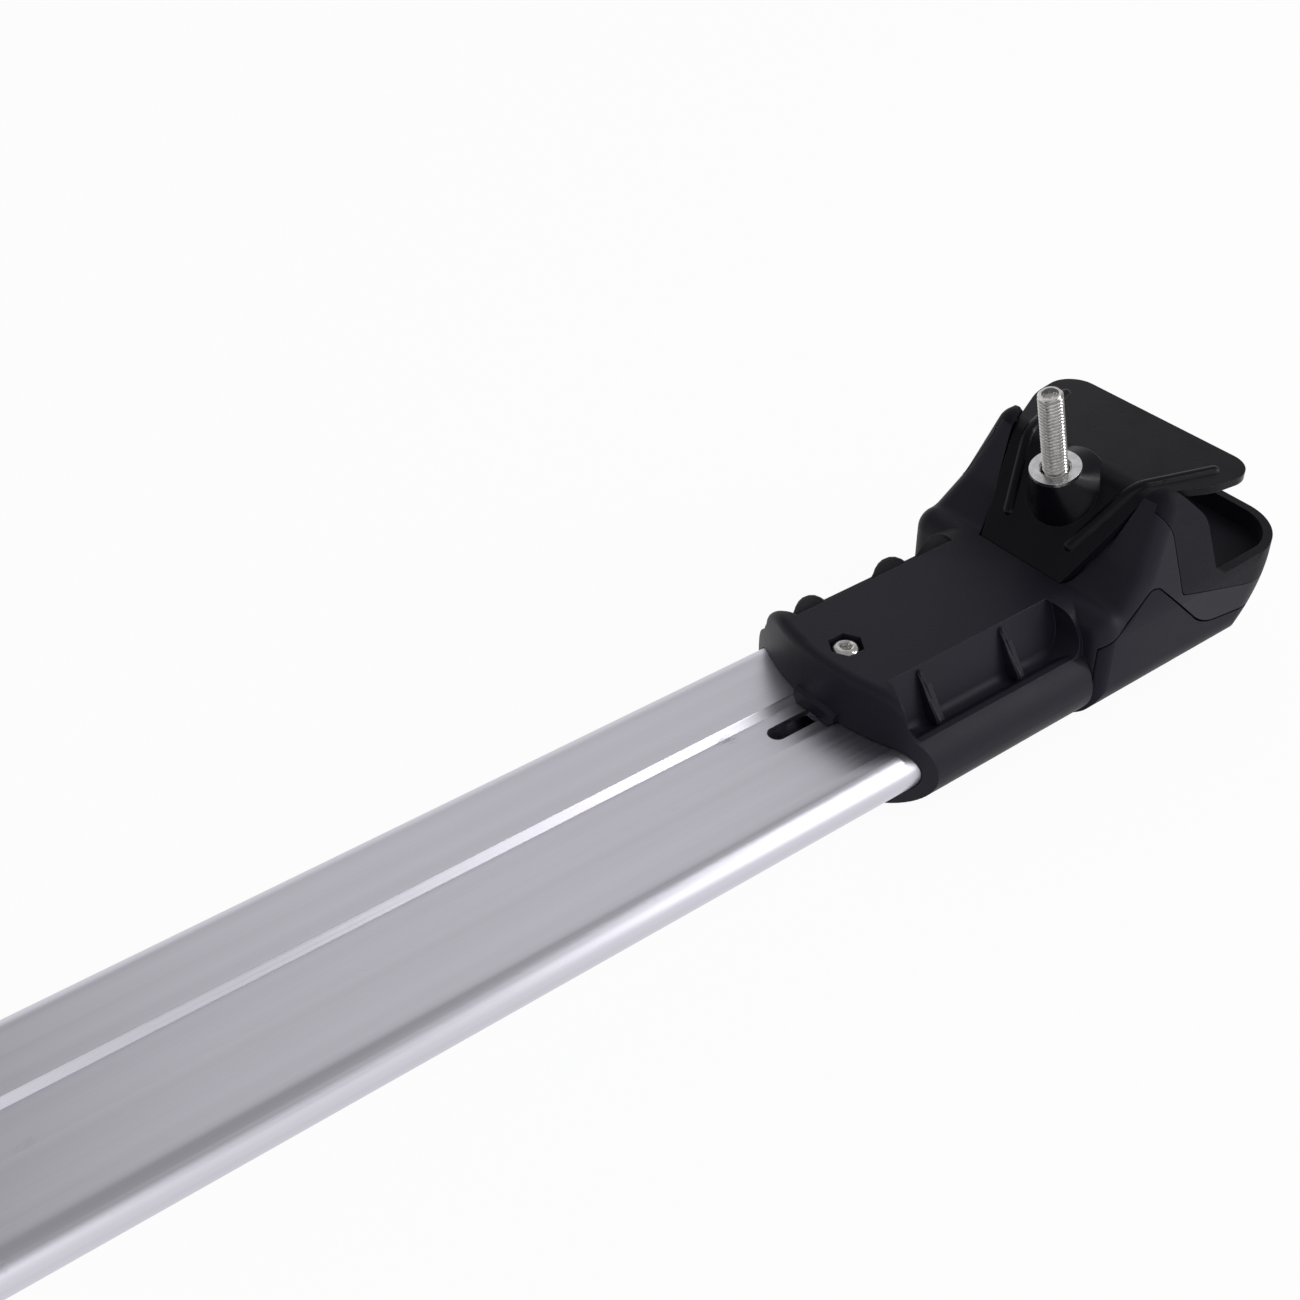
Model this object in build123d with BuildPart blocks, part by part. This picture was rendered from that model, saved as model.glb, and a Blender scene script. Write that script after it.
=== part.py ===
from build123d import *
import os
from math import cos, radians, sin, tan

# Roof rack crossbar, lying upside down: the underside of the bar and both clamps face up.
# X runs along the bar, Y is the direction of travel of the car, Z is up.
# Both feet are drawn in one foot frame: x = 0 at the inner edge of the foot and outward along the bar,
# z = 0 on the flat underside of the bar. The right foot is moved to its place and the left one mirrored.

# Overall
OVERALL_LENGTH = 1200.0
BAR_END_SETBACK = 129.0

# Aero bar section
BAR_WIDTH = 72.0
BAR_NOSE_DEPTH = 7.0
BAR_ARCH_DEPTH = 15.0
BAR_EDGE_RUN = 8.35
BAR_WALL = 1.8
BAR_WEB = 1.5
CHANNEL_OPENING = 18.1
CHANNEL_FLOOR = 14.4
CHANNEL_DEPTH = 2.3
CHANNEL_PLATE = 2.0
NUT_HOLLOW_WIDTH = 20.0
NUT_HOLLOW_HEIGHT = 7.7
TSLOT_MOUTH = 11.0
TSLOT_WIDTH = 20.0
TSLOT_HEIGHT = 6.5
TSLOT_LIP = 2.0

# Slot for the foot screw in the channel floor
SLOT_WIDTH = 6.0
SLOT_INWARD = 28.5
SLOT_OUTWARD = 16.5

# Rubber strip in the T-slot
STRIP_CLEARANCE = 0.15
STRIP_FLANGE_WIDTH = 18.4
STRIP_FLANGE_HEIGHT = 1.5

# Sleeve of the foot around the bar
SLIDE_CLEARANCE = 0.3
SLEEVE_LENGTH = 74.9
SLEEVE_WALL = 4.5
SLEEVE_CROWN_RISE = 6.6
SLEEVE_POCKET_END = 60.0
CROWN_HEIGHT = 18.5
CROWN_WIDTH = 69.0
CROWN_ROUND = 14.5
CROWN_OVERLAP = 9.0
EDGE_ARC_RADIUS = 75.0
EDGE_ARC_START = -1.8
EDGE_ROUND = 3.0
KEY_REACH = 1.1
KEY_HEIGHT = 3.2
KEY_LENGTH = 40.0
KEY_CLEARANCE = 0.3

# Ribbed side pockets of the sleeve
POCKET_START = 5.0
POCKET_END = 74.0
POCKET_TOP_WIDTH = 40.0
POCKET_FLOOR_INNER = 26.3
POCKET_FLOOR_OUTER = 29.5
POCKET_FLOOR_HEIGHT = 2.8
POCKET_RIM_WIDTH = 32.5
POCKET_RIM_HEIGHT = 4.8
POCKET_FLOOR_ROUND = 3.0
POCKET_CORNER_LOW = 8.0
POCKET_CORNER_HIGH = 4.0
RIB_THICKNESS = 1.7
RIB_TOP_HEIGHT = 15.6
RIB_FOOT_HALF_WIDTH = 29.4
RIB_PITCH = 33.4
RIB_CENTRE = 38.0

# Tower of the foot
TOWER_LENGTH = 92.1
TOWER_HALF_WIDTH = 41.5
TOWER_BELLY_DEPTH = 26.0
TOWER_BELLY_FLAT = 8.0
TOWER_BELLY_RISE = 19.0
TOWER_CORNER = 20.0
TOWER_CORNER_GROWTH = 16.0
TOE_RADIUS = 37.0
TOE_CROWN = 1.0
TOE_STEPS = 6
TOWER_HEIGHT = 49.5
TOWER_LEAN_START = 14.0
TOWER_TOP_HALF_WIDTH = 34.5
TOWER_LEAN_ROUND = 40.0
START_ROUND = 6.8
RAMP_RUN = 8.6
RAMP_LOW_RISE = 8.5
RAMP_LOW_RUN = 9.0
RAMP_TOP_RUN = 10.5
RAMP_FOOT_ROUND = 4.0
RAMP_ROUND = 12.0
SHOULDER_ROUND = 6.5
SIDE_ROUND = 6.0
FLANK_SPARE = 0.02

# Parting line of the lock cover on the tower side, measured from the end of the sleeve
COVER_GAP = 0.35
COVER_WALL = 2.5
COVER_CORE_GAP = 0.4
COVER_LINE_LOW = 8.5
COVER_PEAK_RUN = 22.4
COVER_PEAK_HEIGHT = 23.5
COVER_VALLEY_RUN = 48.6
COVER_VALLEY_HEIGHT = -2.0
COVER_TAIL_DROP = 11.5
COVER_LINE_ROUND = 5.0
COVER_VALLEY_ROUND = 20.0

# Cover hinge
HINGE_SETBACK = 8.4
HINGE_HEIGHT = -23.7
HINGE_PIN_DIAMETER = 2.5
HINGE_PIN_LENGTH = 24.0
HINGE_RUNNING_FIT = 0.05
KNUCKLE_DIAMETER = 5.0
KNUCKLE_WIDTH = 16.0
KNUCKLE_CLEARANCE = 0.4

# Rail mouth and its rubber pad, measured from the end of the sleeve
PAD_WALL = 3.0
PAD_LINER = 2.5
PAD_GAP = 0.15
PAD_TOP_RUN = 21.6
PAD_BEND_RUN = 30.4
PAD_BEND_HEIGHT = 37.5
PAD_HEEL_RUN = 35.3
PAD_HEEL_HEIGHT = 14.8
PAD_KNEE_RUN = 70.1
PAD_KNEE_HEIGHT = 4.3
PAD_TAIL_HEIGHT = 1.5
MOUTH_TOP_RUN = 31.6
MOUTH_BEND_RUN = 46.1
MOUTH_BEND_HEIGHT = 37.0
MOUTH_HEEL_RUN = 51.8
MOUTH_SILL_HEIGHT = 14.4
MOUTH_TIP_HEIGHT = 16.2
MOUTH_RECESS = 4.6
MOUTH_FLOOR_HEIGHT = 7.5
MOUTH_ROUND = 6.0
MOUTH_BEND_ROUND = 14.0
PAD_HEEL_ROUND = 3.0
PAD_KNEE_ROUND = 30.0
PAD_OVERRUN = 1.5

# Clamp screw line
SCREW_TILT = 15.0
SCREW_SEAT_RUN = 17.3
SCREW_SEAT_HEIGHT = 47.8
BOLT_DIAMETER = 7.8
BOLT_FREE_END = 29.0
BOLT_BELOW_SEAT = 61.0
BOLT_HEAD_DIAMETER = 13.0
BOLT_HEAD_HEIGHT = 8.0
BOLT_SOCKET_WIDTH = 6.0
BOLT_SOCKET_DEPTH = 4.0
WASHER_DIAMETER = 14.6
WASHER_THICKNESS = 1.5
WASHER_GAP = 0.3
BORE_CLEARANCE = 0.6
HEAD_POCKET_CLEARANCE = 0.3

# Flanged clamp nut
NUT_BORE = 8.6
NUT_FLANGE_DIAMETER = 16.0
NUT_FLANGE_THICKNESS = 1.3
NUT_BARREL_DIAMETER = 11.0
NUT_BARREL_LENGTH = 16.0
NUT_CHAMFER = 0.7

# Clamp plate, a bent and beaded sheet
PLATE_THICKNESS = 2.5
PLATE_FOOT_RUN = 6.6
PLATE_FOOT_HEIGHT = 18.0
PLATE_SLOPE = 52.8
PLATE_TOP_HEIGHT = 47.1
PLATE_END_RUN = 66.1
PLATE_BEND = 8.0
PLATE_FOOT_HALF_WIDTH = 16.6
PLATE_KNEE_RUN = 47.6
PLATE_KNEE_HALF_WIDTH = 36.4
PLATE_END_HALF_WIDTH = 39.0
PLATE_CORNER = 9.0
PLATE_KNEE_ROUND = 25.0
PLATE_GAP = 0.35
PLATE_SIDE_GAP = 0.6
BOSS_BASE_RUN = 22.0
BOSS_BASE_RADIUS = 14.2
BOSS_TOP_RADIUS = 7.6
BEAD_RADIUS = 2.1
BEAD_HEIGHT = 1.2
BEAD_START_RUN = 13.5
BEAD_START_HALF_WIDTH = 12.8
BEAD_BEND_HALF_WIDTH = 21.6
BEAD_END_RUN = 54.6
BEAD_END_HALF_WIDTH = 30.0

# Foot screw and slide nut
FOOT_SCREW_X = 9.0
FOOT_SCREW_DIAMETER = 5.0
FOOT_SCREW_HEAD = 9.0
FOOT_SCREW_HEAD_HEIGHT = 2.8
FOOT_SCREW_SOCKET = 3.0
FOOT_SCREW_SOCKET_DEPTH = 1.7
FOOT_SCREW_SUNK = 0.3
FOOT_SCREW_HOLE_CLEARANCE = 0.3
RECESS_HEX = 9.8
SLIDE_NUT_WIDTH = 18.0
SLIDE_NUT_LENGTH = 16.0
SLIDE_NUT_THICKNESS = 4.4
SLIDE_NUT_CHAMFER = 1.0
THREAD_CLEARANCE = 0.05

# Cover lock
LOCK_RUN = 56.1
BARREL_DIAMETER = 14.0
BARREL_SUNK = 1.0
BARREL_LENGTH = 11.5
BARREL_SEAT_WALL = 1.8
BARREL_SEAT_LENGTH = 5.0
BARREL_FIT = 0.02
PLUG_DIAMETER = 9.0
PLUG_RUNNING_FIT = 0.05
KEYWAY_LENGTH = 6.0
KEYWAY_WIDTH = 1.4
KEYWAY_DEPTH = 3.0
CAM_REACH = 13.2
CAM_WIDTH = 7.0
CAM_THICKNESS = 2.5
CAM_CLEARANCE = 0.4
LOCK_SWING_CLEARANCE = 2.0

# Derived places in the foot frame
toe = SLEEVE_LENGTH + TOWER_LENGTH
foot_x = OVERALL_LENGTH / 2 - toe
bar_half_width = BAR_WIDTH / 2
bar_depth = BAR_NOSE_DEPTH + BAR_ARCH_DEPTH
base_depth = bar_depth + SLEEVE_WALL
bar_end = toe - BAR_END_SETBACK
nut_hollow_top = -CHANNEL_DEPTH - CHANNEL_PLATE
toe_centre_x = toe - TOE_RADIUS
toe_centre_z = TOE_RADIUS - TOWER_BELLY_DEPTH
wide = 2 * TOWER_HALF_WIDTH
far = toe + TOE_RADIUS
deep = -2 * base_depth
high = 2 * TOWER_HEIGHT
screw_line = Plane(
    origin=(SLEEVE_LENGTH + SCREW_SEAT_RUN, 0, SCREW_SEAT_HEIGHT),
    x_dir=(cos(radians(SCREW_TILT)), 0, sin(radians(SCREW_TILT))),
    z_dir=(-sin(radians(SCREW_TILT)), 0, cos(radians(SCREW_TILT))),
)


def aero_outline(outset, edge_rise=0.0):
    """Closed section of the bar, moved outward by outset; edge_rise lifts its flat upper face."""
    half_width = bar_half_width + outset
    edge_run = BAR_EDGE_RUN + outset
    edge_height = BAR_NOSE_DEPTH + outset + edge_rise
    arch = BAR_ARCH_DEPTH + outset
    flat = half_width - edge_run
    with BuildSketch() as outline:
        with BuildLine():
            Line((-flat, edge_height - BAR_NOSE_DEPTH), (flat, edge_height - BAR_NOSE_DEPTH))
            EllipticalCenterArc((flat, -BAR_NOSE_DEPTH), edge_run, edge_height, 0, arc_size=90)
            EllipticalCenterArc((0, -BAR_NOSE_DEPTH), half_width, arch, 180, arc_size=180)
            EllipticalCenterArc((-flat, -BAR_NOSE_DEPTH), edge_run, edge_height, 90, arc_size=90)
        make_face()
    return outline.sketch


def side_prism(corners, rounds=(), half_width=wide):
    """Solid with the given outline in side view, as wide as the foot and more."""
    with BuildPart() as prism:
        with BuildSketch(Plane.XZ) as outline:
            with BuildLine():
                Polyline(*corners, close=True)
            make_face()
            for corner, radius in rounds:
                fillet(outline.vertices().sort_by_distance((corner[0], corner[1], 0))[0], radius)
        extrude(amount=half_width, both=True)
    return prism.part


def toe_section(height, reach, half_width, corner):
    """Horizontal section of the tower: straight sides, round corners and a slightly crowned end."""
    with BuildSketch(Plane.XY.offset(height)) as section:
        with BuildLine():
            Line((SLEEVE_POCKET_END, -half_width), (reach - TOE_CROWN, -half_width))
            ThreePointArc((reach - TOE_CROWN, -half_width), (reach, 0), (reach - TOE_CROWN, half_width))
            Line((reach - TOE_CROWN, half_width), (SLEEVE_POCKET_END, half_width))
            Line((SLEEVE_POCKET_END, half_width), (SLEEVE_POCKET_END, -half_width))
        make_face()
        fillet(section.vertices().sort_by(Axis.X)[-2:], radius=corner)
    return section.sketch


def tower_form(inset):
    """Form of the tower with its side, end and belly faces moved inward by inset."""
    half_width = TOWER_HALF_WIDTH - inset
    toe_radius = TOE_RADIUS - inset
    with BuildPart() as form:
        sections = []
        for step in range(TOE_STEPS + 1):
            turn = radians(90 * step / TOE_STEPS)
            height = toe_centre_z - toe_radius * sin(turn)
            reach = toe_centre_x + toe_radius * cos(turn)
            corner = TOWER_CORNER - inset + TOWER_CORNER_GROWTH * (step / TOE_STEPS) ** 2
            sections.append(toe_section(height, reach, half_width, corner))
        loft(sections)
        add(extrude(sections[0], amount=TOWER_HEIGHT - toe_centre_z, mode=Mode.PRIVATE))
        with BuildSketch(Plane.YZ) as front:
            belly_side = half_width - TOWER_BELLY_FLAT
            belly_rise = TOWER_BELLY_RISE - inset
            belly_top = TOWER_BELLY_RISE - TOWER_BELLY_DEPTH
            belly_low = inset - TOWER_BELLY_DEPTH
            with BuildLine():
                Line((-TOWER_BELLY_FLAT, belly_low), (TOWER_BELLY_FLAT, belly_low))
                EllipticalCenterArc((TOWER_BELLY_FLAT, belly_top), belly_side, belly_rise, 270, arc_size=90)
                Line((half_width, belly_top), (half_width, high))
                Line((half_width, high), (-half_width, high))
                Line((-half_width, high), (-half_width, belly_top))
                EllipticalCenterArc((-TOWER_BELLY_FLAT, belly_top), belly_side, belly_rise, 180, arc_size=90)
            make_face()
        extrude(amount=far, mode=Mode.INTERSECT)
    return form.part


# Side view of the tower: start of the flat top, ramp, shoulder and beyond the toe
ramp_foot = SLEEVE_LENGTH + RAMP_RUN
ramp_knee = ramp_foot + RAMP_LOW_RUN
ramp_top = ramp_knee + RAMP_TOP_RUN
tower_corners = [
    (SLEEVE_LENGTH, deep),
    (SLEEVE_LENGTH, CROWN_HEIGHT),
    (ramp_foot, CROWN_HEIGHT),
    (ramp_knee, CROWN_HEIGHT + RAMP_LOW_RISE),
    (ramp_top, TOWER_HEIGHT),
    (far, TOWER_HEIGHT),
    (far, deep),
]
tower_rounds = [
    (tower_corners[1], START_ROUND),
    (tower_corners[2], RAMP_FOOT_ROUND),
    (tower_corners[3], RAMP_ROUND),
    (tower_corners[4], SHOULDER_ROUND),
]


def flank_prism(inset):
    """Everything between the leaning sides of the tower and below its top, moved inward by inset."""
    low_half = TOWER_HALF_WIDTH + FLANK_SPARE - inset
    top_half = TOWER_TOP_HALF_WIDTH - inset
    top = TOWER_HEIGHT - inset
    with BuildPart() as prism:
        with BuildSketch(Plane.YZ) as flanks:
            with BuildLine():
                Polyline(
                    (-low_half, deep),
                    (-low_half, TOWER_LEAN_START),
                    (-top_half, top),
                    (top_half, top),
                    (low_half, TOWER_LEAN_START),
                    (low_half, deep),
                    close=True,
                )
            make_face()
            fillet(flanks.vertices().group_by(Axis.Y)[1], TOWER_LEAN_ROUND)
        extrude(amount=far + 1)
    return prism.part


# The side view, leaning sides that turn vertical lower down, and the rounded edge between them
with BuildPart() as tower_side:
    add(side_prism(tower_corners, tower_rounds))
    add(flank_prism(0), mode=Mode.INTERSECT)
    top_edges = []
    for edge in tower_side.edges():
        middle = edge.center()
        outer = abs(middle.Y) > TOWER_TOP_HALF_WIDTH - SIDE_ROUND and middle.X < far
        on_side = middle.X > ramp_top and middle.Z < TOWER_HEIGHT
        side_seam = edge.geom_type == GeomType.LINE and on_side
        if outer and middle.Z > 0 and not side_seam:
            top_edges.append(edge)
    fillet(top_edges, SIDE_ROUND)


def cover_prism(outset):
    """Region below the parting line of the lock cover."""
    start = SLEEVE_LENGTH + COVER_GAP - outset
    peak = (SLEEVE_LENGTH + COVER_PEAK_RUN, COVER_PEAK_HEIGHT + 1.4 * outset)
    valley = (SLEEVE_LENGTH + COVER_VALLEY_RUN + 0.4 * outset, COVER_VALLEY_HEIGHT + outset)
    low = (start, COVER_LINE_LOW + 0.5 * outset)
    tail = (far, COVER_VALLEY_HEIGHT + outset - COVER_TAIL_DROP)
    return side_prism(
        [(start, deep), low, peak, valley, tail, (far, deep)],
        [(low, COVER_LINE_ROUND + outset), (peak, COVER_LINE_ROUND + outset), (valley, COVER_VALLEY_ROUND - outset)],
    )


def pad_prism(outset):
    """Region of the skin of the mouth pad."""
    top = (SLEEVE_LENGTH + PAD_TOP_RUN - outset, TOWER_HEIGHT + PAD_OVERRUN)
    bend = (SLEEVE_LENGTH + PAD_BEND_RUN - outset, PAD_BEND_HEIGHT)
    heel = (SLEEVE_LENGTH + PAD_HEEL_RUN - outset, PAD_HEEL_HEIGHT - outset)
    knee = (SLEEVE_LENGTH + PAD_KNEE_RUN, PAD_KNEE_HEIGHT - outset)
    return side_prism(
        [top, bend, heel, knee, (far, PAD_TAIL_HEIGHT - outset), (far, high), (top[0], high)],
        [(bend, MOUTH_BEND_ROUND), (heel, PAD_HEEL_ROUND), (knee, PAD_KNEE_ROUND)],
    )


def mouth_prism(recess, floor_height):
    """Open space of the rail mouth, moved into the foot by recess."""
    top = (SLEEVE_LENGTH + MOUTH_TOP_RUN - recess, TOWER_HEIGHT + PAD_OVERRUN)
    bend = (SLEEVE_LENGTH + MOUTH_BEND_RUN - recess, MOUTH_BEND_HEIGHT - recess / 3)
    heel = (SLEEVE_LENGTH + MOUTH_HEEL_RUN - recess, floor_height)
    tip = (far, floor_height + MOUTH_TIP_HEIGHT - MOUTH_SILL_HEIGHT)
    return side_prism(
        [top, bend, heel, tip, (far, high), (top[0], high)],
        [(bend, MOUTH_BEND_ROUND), (heel, MOUTH_ROUND)],
    )


# Full outer form of the tower
with BuildPart() as tower:
    add(tower_form(0))
    add(tower_side.part, mode=Mode.INTERSECT)
core_cover = tower_form(COVER_WALL + COVER_CORE_GAP)
core_skin = tower_form(COVER_WALL)
core_pad = tower_form(PAD_WALL) & flank_prism(PAD_WALL)

# Sleeve: shell around the bar, crown block above it, then the end towards the middle of the car as an arc
with BuildPart() as sleeve:
    with BuildSketch(Plane.YZ.offset(EDGE_ARC_START)) as shell:
        add(aero_outline(SLEEVE_WALL, SLEEVE_CROWN_RISE - SLEEVE_WALL))
    extrude(amount=SLEEVE_LENGTH - EDGE_ARC_START)
    with BuildSketch(Plane.YZ.offset(EDGE_ARC_START)) as crown:
        with Locations((0, CROWN_HEIGHT / 2 - BAR_NOSE_DEPTH / 2)):
            Rectangle(CROWN_WIDTH, CROWN_HEIGHT + BAR_NOSE_DEPTH)
        fillet(crown.vertices().sort_by(Axis.Y)[-2:], CROWN_ROUND)
    extrude(amount=SLEEVE_LENGTH + CROWN_OVERLAP - EDGE_ARC_START)
    with BuildSketch(Plane.XY) as inner_edge:
        with Locations((EDGE_ARC_START + EDGE_ARC_RADIUS, 0)):
            Circle(EDGE_ARC_RADIUS)
        with Locations((SLEEVE_LENGTH, 0)):
            Rectangle(SLEEVE_LENGTH + CROWN_OVERLAP, wide)
    extrude(amount=high, both=True, mode=Mode.INTERSECT)
    fillet(sleeve.edges().filter_by(GeomType.CIRCLE).group_by(Axis.Z)[-1], EDGE_ROUND)


def pocket_solid(side):
    """One side pocket of the sleeve, open to the side, with its ribs left standing."""
    top_half = POCKET_TOP_WIDTH / 2
    lift = CROWN_HEIGHT - POCKET_FLOOR_HEIGHT
    with BuildPart() as pocket:
        with BuildSketch(Plane.YZ.offset(POCKET_START)) as trough:
            with BuildLine():
                Polyline(
                    (side * (top_half - (POCKET_FLOOR_INNER - top_half) / lift), CROWN_HEIGHT + 1),
                    (side * POCKET_FLOOR_INNER, POCKET_FLOOR_HEIGHT),
                    (side * POCKET_FLOOR_OUTER, POCKET_FLOOR_HEIGHT),
                    (side * POCKET_RIM_WIDTH, POCKET_RIM_HEIGHT),
                    (side * TOWER_HALF_WIDTH, POCKET_RIM_HEIGHT),
                    (side * TOWER_HALF_WIDTH, CROWN_HEIGHT + 1),
                    close=True,
                )
            make_face()
            inner = trough.vertices().sort_by_distance((side * POCKET_FLOOR_INNER, POCKET_FLOOR_HEIGHT, 0))[0]
            fillet(inner, POCKET_FLOOR_ROUND)
        extrude(amount=POCKET_END - POCKET_START)
        with BuildSketch(Plane.XZ) as window:
            with Locations(((POCKET_START + POCKET_END) / 2, CROWN_HEIGHT / 2 + POCKET_FLOOR_HEIGHT / 2 + 0.25)):
                Rectangle(POCKET_END - POCKET_START, CROWN_HEIGHT - POCKET_FLOOR_HEIGHT + 0.5)
            fillet(window.vertices().group_by(Axis.Y)[0], POCKET_CORNER_LOW)
            fillet(window.vertices().group_by(Axis.Y)[-1], POCKET_CORNER_HIGH)
        extrude(amount=wide, both=True, mode=Mode.INTERSECT)
        for place in (-1, 1):
            with BuildSketch(Plane.YZ.offset(RIB_CENTRE + place * RIB_PITCH / 2 - RIB_THICKNESS / 2)) as rib:
                with BuildLine():
                    Polyline(
                        (0, 0),
                        (side * RIB_FOOT_HALF_WIDTH, 0),
                        (side * RIB_FOOT_HALF_WIDTH, POCKET_FLOOR_HEIGHT),
                        (side * top_half, RIB_TOP_HEIGHT),
                        (0, RIB_TOP_HEIGHT),
                        close=True,
                    )
                make_face()
            extrude(amount=RIB_THICKNESS, mode=Mode.SUBTRACT)
    return pocket.part


# Room that the tilted clamp screw, its head and the nut barrel need in the tower
with BuildPart() as screw_room:
    with BuildSketch(screw_line.offset(-BOLT_BELOW_SEAT)) as bore:
        Circle(BOLT_DIAMETER / 2 + BORE_CLEARANCE)
    extrude(amount=BOLT_BELOW_SEAT + NUT_BARREL_LENGTH)
    with BuildSketch(screw_line.offset(-NUT_FLANGE_THICKNESS - NUT_BARREL_LENGTH - 2 * BORE_CLEARANCE)) as nut_bore:
        Circle(NUT_BARREL_DIAMETER / 2 + BORE_CLEARANCE)
    extrude(amount=2 * NUT_BARREL_LENGTH)
    with BuildSketch(screw_line.offset(WASHER_THICKNESS + WASHER_GAP - BOLT_BELOW_SEAT)) as head_pocket:
        Circle(WASHER_DIAMETER / 2 + HEAD_POCKET_CLEARANCE)
    extrude(amount=-BOLT_BELOW_SEAT)

# Recess of the clamp plate: everything above its lower face, within its outline
slope_cos = cos(radians(PLATE_SLOPE))
slope_sin = sin(radians(PLATE_SLOPE))
plate_foot = (SLEEVE_LENGTH + PLATE_FOOT_RUN, PLATE_FOOT_HEIGHT)
plate_rise = PLATE_TOP_HEIGHT - PLATE_FOOT_HEIGHT
plate_bend = (plate_foot[0] + plate_rise / tan(radians(PLATE_SLOPE)), PLATE_TOP_HEIGHT)
plate_end = SLEEVE_LENGTH + PLATE_END_RUN


def plate_plan(side_gap):
    """Plan view of the clamp plate, widened by side_gap."""
    foot_half = PLATE_FOOT_HALF_WIDTH + side_gap
    knee_half = PLATE_KNEE_HALF_WIDTH + side_gap
    end_half = PLATE_END_HALF_WIDTH + side_gap
    knee = SLEEVE_LENGTH + PLATE_KNEE_RUN
    start = plate_foot[0] - side_gap
    end = plate_end + side_gap
    with BuildSketch(Plane.XY) as plan:
        with BuildLine():
            Polyline(
                (start, -foot_half),
                (knee, -knee_half),
                (end, -end_half),
                (end, end_half),
                (knee, knee_half),
                (start, foot_half),
                close=True,
            )
        make_face()
        for side in (-1, 1):
            fillet(plan.vertices().sort_by_distance((end, side * end_half, 0))[0], PLATE_CORNER)
            fillet(plan.vertices().sort_by_distance((knee, side * knee_half, 0))[0], PLATE_KNEE_ROUND)
    return plan.sketch


def plate_side(depth, lift):
    """Closed side view of a band below the plate's upper face, from lift above it to depth below it."""
    band_top = PLATE_TOP_HEIGHT + lift
    band_low = PLATE_TOP_HEIGHT - depth
    shift = (1 - slope_cos) / slope_sin
    foot_x, foot_z = plate_foot
    return [
        (foot_x - lift * slope_sin, foot_z + lift * slope_cos),
        (plate_bend[0] - lift * shift, band_top),
        (plate_end + PLATE_CORNER, band_top),
        (plate_end + PLATE_CORNER, band_low),
        (plate_bend[0] + depth * shift, band_low),
        (foot_x + depth * slope_sin, foot_z - depth * slope_cos),
    ]


with BuildPart() as plate_room:
    lower = plate_side(PLATE_THICKNESS + PLATE_GAP, 0)
    slot_edge = plate_foot[0] - PLATE_SIDE_GAP
    slot_floor = lower[5][1] - PLATE_GAP
    add(
        side_prism(
            [
                (slot_edge, high),
                (slot_edge, plate_foot[1] - PLATE_SIDE_GAP),
                (lower[5][0] - PLATE_GAP, slot_floor),
                lower[4],
                lower[3],
                (lower[3][0], high),
            ],
            [(lower[4], PLATE_BEND - PLATE_THICKNESS)],
        )
    )
    add(extrude(plate_plan(PLATE_SIDE_GAP), amount=high, mode=Mode.PRIVATE), mode=Mode.INTERSECT)

# Hinge and lock places
hinge_x = SLEEVE_LENGTH - HINGE_SETBACK
lock_x = SLEEVE_LENGTH + LOCK_RUN
barrel_low = -TOWER_BELLY_DEPTH + BARREL_SUNK
barrel_high = barrel_low + BARREL_LENGTH
cam_low = barrel_high + CAM_CLEARANCE
cam_high = cam_low + CAM_THICKNESS
barrel_seat_radius = BARREL_DIAMETER / 2 + BARREL_SEAT_WALL
lock_room_radius = barrel_seat_radius + LOCK_SWING_CLEARANCE
cam_room_radius = CAM_REACH + CAM_CLEARANCE
hinge_arm_low = -TOWER_BELLY_DEPTH
hinge_arm_high = COVER_WALL - TOWER_BELLY_DEPTH

with BuildPart() as lock_room:
    with BuildSketch(Plane.XY.offset(deep)) as barrel_opening:
        with Locations((lock_x, 0)):
            Circle(lock_room_radius)
        with Locations((lock_x, cam_room_radius / 2)):
            Rectangle(CAM_WIDTH + 2 * LOCK_SWING_CLEARANCE, cam_room_radius + 1)
    extrude(amount=cam_high - deep)
    with BuildSketch(Plane.XY.offset(cam_low - CAM_CLEARANCE)) as cam_room:
        with Locations((lock_x, 0)):
            Circle(cam_room_radius)
    extrude(amount=CAM_THICKNESS + 2 * CAM_CLEARANCE)

with BuildPart() as hinge_room:
    room_half = KNUCKLE_WIDTH / 2 + KNUCKLE_CLEARANCE
    room_start = hinge_x - KNUCKLE_DIAMETER / 2 - KNUCKLE_CLEARANCE
    room_end = SLEEVE_LENGTH + COVER_WALL + COVER_CORE_GAP
    room_top = HINGE_HEIGHT + KNUCKLE_DIAMETER / 2 + KNUCKLE_CLEARANCE
    with BuildSketch(Plane.XY.offset(room_top)) as room:
        with Locations(((room_start + room_end) / 2, 0)):
            Rectangle(room_end - room_start, 2 * room_half)
    extrude(amount=deep - room_top)
    with BuildSketch(Plane.XZ) as pin_bore:
        with Locations((hinge_x, HINGE_HEIGHT)):
            Circle(HINGE_PIN_DIAMETER / 2)
    extrude(amount=HINGE_PIN_LENGTH / 2, both=True)

with BuildPart() as bar_room:
    with BuildSketch(Plane.YZ.offset(-EDGE_ARC_RADIUS)) as cavity:
        add(aero_outline(SLIDE_CLEARANCE))
    extrude(amount=SLEEVE_POCKET_END + EDGE_ARC_RADIUS)

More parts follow.
